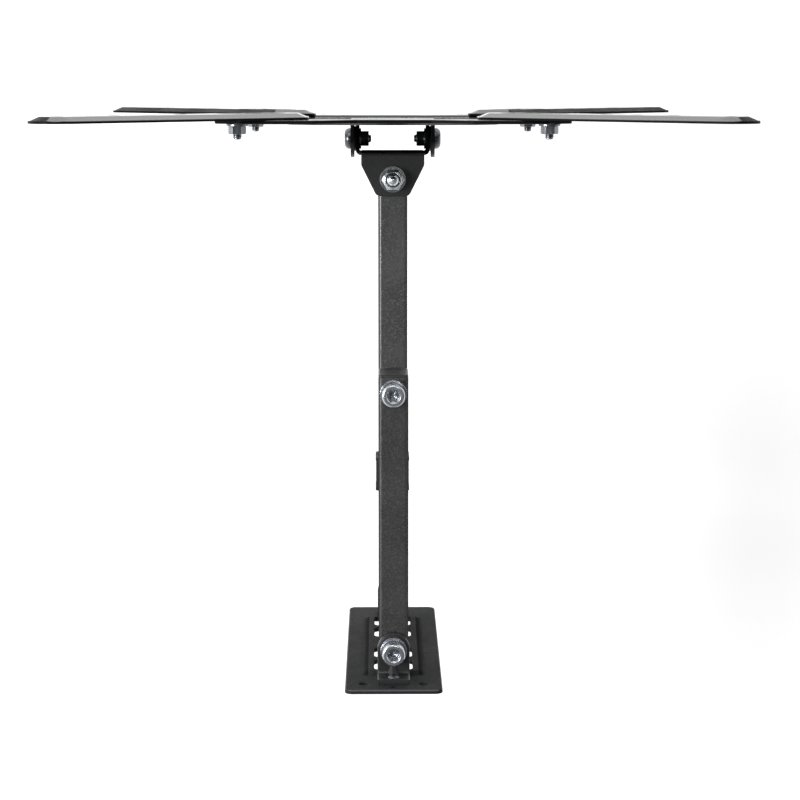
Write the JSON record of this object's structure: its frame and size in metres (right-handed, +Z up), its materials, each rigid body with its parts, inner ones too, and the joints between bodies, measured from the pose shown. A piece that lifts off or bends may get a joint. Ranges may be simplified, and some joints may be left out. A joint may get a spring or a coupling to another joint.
{
  "type": "tv wall mount",
  "caption": "Full-motion television wall mount with a wall plate, a twin-rail swinging arm, a forearm, a swivel head and a tilting plate with diagonal screen arms.",
  "frame": {"origin": "middle of the wall plate's back, on the wall", "axes": "+Z up, +Y into the wall, -Y out into the room, +X to the right for someone facing the wall"},
  "size_m": [0.434, 0.3812, 0.434],
  "materials": {
    "powder_coat": "fine-textured satin black powder coat on steel",
    "zinc_plate": "bright zinc-plated steel",
    "black_nylon": "matt black nylon",
    "moulded_plastic": "black moulded plastic with a fine grain"
  },
  "bodies": {
    "wall": {"wall_plate": "powder_coat", "upper_pivot_bracket": "powder_coat", "lower_pivot_bracket": "powder_coat", "bracket_rivets": "zinc_plate", "wall_pivot_bolt": "zinc_plate", "wall_pivot_friction_washers": "black_nylon", "wall_pivot_washers": "zinc_plate", "wall_pivot_disc_springs": "zinc_plate", "wall_pivot_nut": "zinc_plate", "wall_pivot_nut_ring": "black_nylon"},
    "rear_arm": {"upper_rail": "powder_coat", "lower_rail": "powder_coat", "upper_rail_wall_cap": "moulded_plastic", "upper_rail_elbow_cap": "moulded_plastic", "lower_rail_wall_cap": "moulded_plastic", "lower_rail_elbow_cap": "moulded_plastic", "upper_rail_outer_bush": "black_nylon", "upper_rail_inner_bush": "black_nylon", "lower_rail_outer_bush": "black_nylon", "lower_rail_inner_bush": "black_nylon", "wall_pivot_spacer": "zinc_plate", "upper_elbow_sleeve": "zinc_plate", "lower_elbow_sleeve": "zinc_plate", "upper_elbow_spacer": "zinc_plate", "lower_elbow_spacer": "zinc_plate", "elbow_bolt": "zinc_plate", "elbow_washers": "zinc_plate", "elbow_disc_springs": "zinc_plate", "elbow_nut": "zinc_plate", "elbow_nut_ring": "black_nylon", "cable_clip": "moulded_plastic"},
    "forearm": {"forearm_tube": "powder_coat", "forearm_elbow_cap": "moulded_plastic", "forearm_head_cap": "moulded_plastic", "upper_elbow_bush": "black_nylon", "lower_elbow_bush": "black_nylon", "upper_head_bush": "black_nylon", "lower_head_bush": "black_nylon"},
    "head": {"head_bracket": "powder_coat", "head_bolt": "zinc_plate", "head_washers": "zinc_plate", "head_nut": "zinc_plate", "head_nut_ring": "black_nylon"},
    "screen_plate": {"tv_plate": "powder_coat", "upper_left_arm": "powder_coat", "upper_right_arm": "powder_coat", "lower_left_arm": "powder_coat", "lower_right_arm": "powder_coat", "arm_bolts": "zinc_plate", "arm_washers": "zinc_plate", "arm_nuts": "zinc_plate", "tilt_bolts": "zinc_plate", "tilt_friction_washers": "black_nylon", "tilt_washers": "zinc_plate", "tilt_nuts": "zinc_plate"}
  },
  "joints": [
    {"name": "wall_swivel", "type": "hinge", "parent": "wall", "child": "rear_arm", "pos_m": [0, -0.023, 0], "axis": [0, 0, 1], "range_deg": [-90, 90]},
    {"name": "elbow", "type": "hinge", "parent": "rear_arm", "child": "forearm", "pos_m": [0, -0.197, 0], "axis": [0, 0, 1], "range_deg": [-90, 90]},
    {"name": "head_swivel", "type": "hinge", "parent": "forearm", "child": "head", "pos_m": [0, -0.3355, 0], "axis": [0, 0, 1], "range_deg": [-90, 90]},
    {"name": "tilt", "type": "hinge", "parent": "head", "child": "screen_plate", "pos_m": [0, -0.3625, 0], "axis": [1, 0, 0], "range_deg": [-5, 15]}
  ]
}
